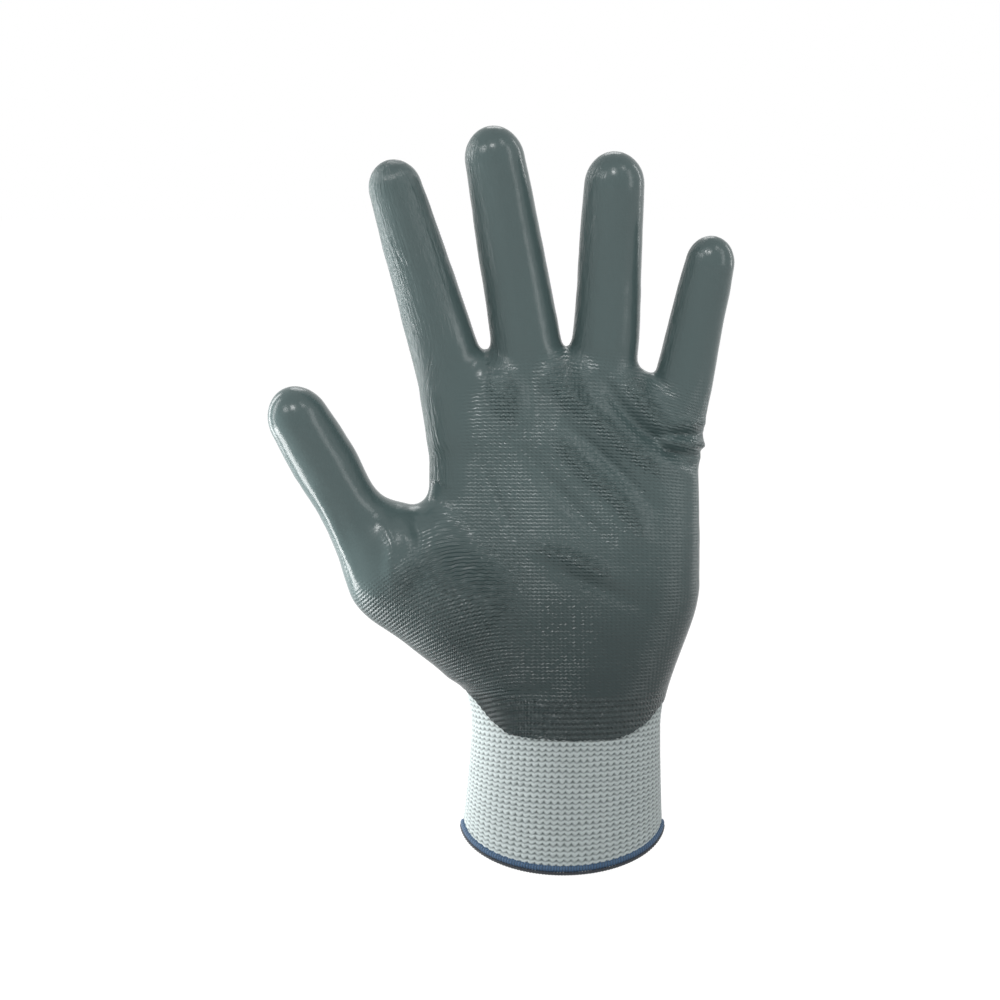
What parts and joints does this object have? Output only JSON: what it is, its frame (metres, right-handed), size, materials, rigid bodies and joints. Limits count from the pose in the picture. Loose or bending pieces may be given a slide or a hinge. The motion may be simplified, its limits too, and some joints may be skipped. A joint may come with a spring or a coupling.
{
  "type": "work glove",
  "caption": "Knitted work glove for the left hand with a grey dipped palm and fingertips, a white elastic knit cuff and a blue overlocked hem.",
  "frame": {"origin": "middle of the wrist opening, level with the lowest point of the hem", "axes": "+Z from the hem to the fingertips, -Y towards the palm's side, -X towards the thumb"},
  "size_m": [0.1549, 0.0506, 0.2498],
  "materials": {
    "knitted_nylon": "matt white knitted nylon",
    "cuff_rib": "matt white knit with elastic",
    "nitrile_film": "satin grey nitrile over knit",
    "elastic_yarn": "covered elastic yarn",
    "overlock_thread": "blue textured polyester thread",
    "looper_thread": "near-black textured thread"
  },
  "bodies": {
    "palm": {"palm_liner": "knitted_nylon", "palm_film": "nitrile_film", "cuff_knit": "cuff_rib", "cuff_elastic": "elastic_yarn", "hem_overlock": "overlock_thread", "hem_looper": "looper_thread", "index_root_fold": "nitrile_film", "middle_root_fold": "nitrile_film", "ring_root_fold": "nitrile_film", "little_root_fold": "nitrile_film", "thumb_root_fold": "nitrile_film"},
    "index_base": {"index_base_liner": "knitted_nylon", "index_base_film": "nitrile_film", "index_middle_fold": "nitrile_film"},
    "index_middle": {"index_middle_liner": "knitted_nylon", "index_middle_film": "nitrile_film", "index_tip_fold": "nitrile_film"},
    "index_tip": {"index_tip_liner": "knitted_nylon", "index_tip_film": "nitrile_film"},
    "middle_base": {"middle_base_liner": "knitted_nylon", "middle_base_film": "nitrile_film", "middle_middle_fold": "nitrile_film"},
    "middle_middle": {"middle_middle_liner": "knitted_nylon", "middle_middle_film": "nitrile_film", "middle_tip_fold": "nitrile_film"},
    "middle_tip": {"middle_tip_liner": "knitted_nylon", "middle_tip_film": "nitrile_film"},
    "ring_base": {"ring_base_liner": "knitted_nylon", "ring_base_film": "nitrile_film", "ring_middle_fold": "nitrile_film"},
    "ring_middle": {"ring_middle_liner": "knitted_nylon", "ring_middle_film": "nitrile_film", "ring_tip_fold": "nitrile_film"},
    "ring_tip": {"ring_tip_liner": "knitted_nylon", "ring_tip_film": "nitrile_film"},
    "little_base": {"little_base_liner": "knitted_nylon", "little_base_film": "nitrile_film", "little_middle_fold": "nitrile_film"},
    "little_middle": {"little_middle_liner": "knitted_nylon", "little_middle_film": "nitrile_film", "little_tip_fold": "nitrile_film"},
    "little_tip": {"little_tip_liner": "knitted_nylon", "little_tip_film": "nitrile_film"},
    "thumb_base": {"thumb_base_liner": "knitted_nylon", "thumb_base_film": "nitrile_film", "thumb_tip_fold": "nitrile_film"},
    "thumb_tip": {"thumb_tip_liner": "knitted_nylon", "thumb_tip_film": "nitrile_film"}
  },
  "joints": [
    {"name": "index_root_knuckle", "type": "hinge", "parent": "palm", "child": "index_base", "pos_m": [-0.04118, -0.001, 0.179], "axis": [1, 0, 0], "range_deg": [0, 60], "stiffness_Nm_per_rad": 0.05, "deforming": ["index_root_fold"]},
    {"name": "index_middle_knuckle", "type": "hinge", "parent": "index_base", "child": "index_middle", "pos_m": [-0.04643, -0.00231, 0.19695], "axis": [0.9598, 0, 0.2807], "range_deg": [0, 70], "stiffness_Nm_per_rad": 0.035, "deforming": ["index_middle_fold"]},
    {"name": "index_tip_knuckle", "type": "hinge", "parent": "index_middle", "child": "index_tip", "pos_m": [-0.05232, -0.00563, 0.2171], "axis": [0.9598, 0, 0.2807], "range_deg": [0, 40], "stiffness_Nm_per_rad": 0.02, "deforming": ["index_tip_fold"]},
    {"name": "middle_root_knuckle", "type": "hinge", "parent": "palm", "child": "middle_base", "pos_m": [-0.01297, -0.001, 0.18], "axis": [1, 0, 0], "range_deg": [0, 60], "stiffness_Nm_per_rad": 0.05, "deforming": ["middle_root_fold"]},
    {"name": "middle_middle_knuckle", "type": "hinge", "parent": "middle_base", "child": "middle_middle", "pos_m": [-0.01654, -0.0025, 0.2011], "axis": [0.986, 0, 0.1668], "range_deg": [0, 70], "stiffness_Nm_per_rad": 0.035, "deforming": ["middle_middle_fold"]},
    {"name": "middle_tip_knuckle", "type": "hinge", "parent": "middle_middle", "child": "middle_tip", "pos_m": [-0.02054, -0.0063, 0.22477], "axis": [0.986, 0, 0.1668], "range_deg": [0, 40], "stiffness_Nm_per_rad": 0.02, "deforming": ["middle_tip_fold"]},
    {"name": "ring_root_knuckle", "type": "hinge", "parent": "palm", "child": "ring_base", "pos_m": [0.01433, -0.001, 0.1795], "axis": [1, 0, 0], "range_deg": [0, 60], "stiffness_Nm_per_rad": 0.05, "deforming": ["ring_root_fold"]},
    {"name": "ring_middle_knuckle", "type": "hinge", "parent": "ring_base", "child": "ring_middle", "pos_m": [0.01518, -0.00231, 0.19819], "axis": [0.999, 0, -0.0454], "range_deg": [0, 70], "stiffness_Nm_per_rad": 0.035, "deforming": ["ring_middle_fold"]},
    {"name": "ring_tip_knuckle", "type": "hinge", "parent": "ring_middle", "child": "ring_tip", "pos_m": [0.01613, -0.00563, 0.21915], "axis": [0.999, 0, -0.0454], "range_deg": [0, 40], "stiffness_Nm_per_rad": 0.02, "deforming": ["ring_tip_fold"]},
    {"name": "little_root_knuckle", "type": "hinge", "parent": "palm", "child": "little_base", "pos_m": [0.04186, -0.001, 0.171], "axis": [1, 0, 0], "range_deg": [0, 60], "stiffness_Nm_per_rad": 0.05, "deforming": ["little_root_fold"]},
    {"name": "little_middle_knuckle", "type": "hinge", "parent": "little_base", "child": "little_middle", "pos_m": [0.04448, -0.00191, 0.18375], "axis": [0.9796, 0, -0.2011], "range_deg": [0, 70], "stiffness_Nm_per_rad": 0.035, "deforming": ["little_middle_fold"]},
    {"name": "little_tip_knuckle", "type": "hinge", "parent": "little_middle", "child": "little_tip", "pos_m": [0.04724, -0.00409, 0.19722], "axis": [0.9796, 0, -0.2011], "range_deg": [0, 40], "stiffness_Nm_per_rad": 0.02, "deforming": ["little_tip_fold"]},
    {"name": "thumb_root_knuckle", "type": "hinge", "parent": "palm", "child": "thumb_base", "pos_m": [-0.06871, -0.009, 0.1185], "axis": [0.6656, 0.5649, 0.4877], "range_deg": [0, 28], "stiffness_Nm_per_rad": 0.05, "deforming": ["thumb_root_fold"]},
    {"name": "thumb_tip_knuckle", "type": "hinge", "parent": "thumb_base", "child": "thumb_tip", "pos_m": [-0.08023, -0.01315, 0.13904], "axis": [0.6562, 0.5608, 0.5049], "range_deg": [0, 36], "stiffness_Nm_per_rad": 0.02, "deforming": ["thumb_tip_fold"]}
  ]
}
